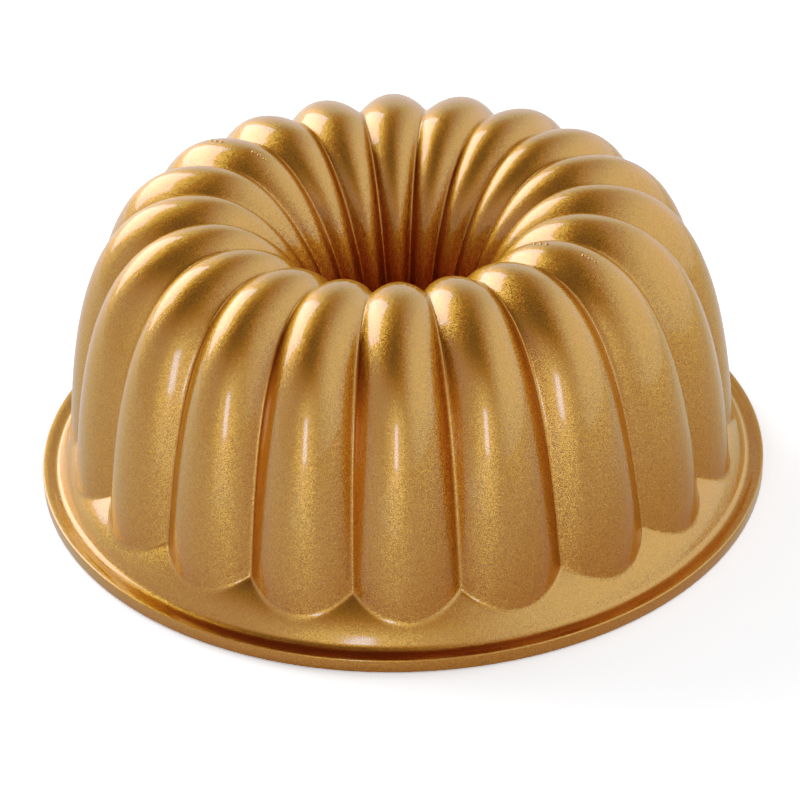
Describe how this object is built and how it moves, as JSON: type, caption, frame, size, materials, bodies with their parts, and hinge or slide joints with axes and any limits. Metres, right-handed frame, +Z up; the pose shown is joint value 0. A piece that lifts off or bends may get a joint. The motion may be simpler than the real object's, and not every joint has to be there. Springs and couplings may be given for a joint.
{
  "type": "fluted tube cake pan",
  "caption": "Round cast ring cake pan with a fluted wall, a flat rim flange and an open central tube, gold coated, standing upside down on its rim.",
  "frame": {"origin": "on the pan's axis, at the plane of the rim face that it stands on", "axes": "+Z up along the pan's axis, from the rim face towards the crown of the flutes; +X through the middle of one flute, so a flute also faces -Y"},
  "size_m": [0.264, 0.264, 0.1069],
  "materials": {
    "cast_aluminium": "as-cast satin, bare only at the rim face and the tube's end",
    "gold_metallic_coat": "gold heat-resistant metallic coat, satin-gloss with a fine flake",
    "gold_nonstick_lining": "smooth dull-gold non-stick"
  },
  "bodies": {
    "root": {"pan_casting": "cast_aluminium", "outer_coating": "gold_metallic_coat", "nonstick_lining": "gold_nonstick_lining"}
  },
  "joints": []
}
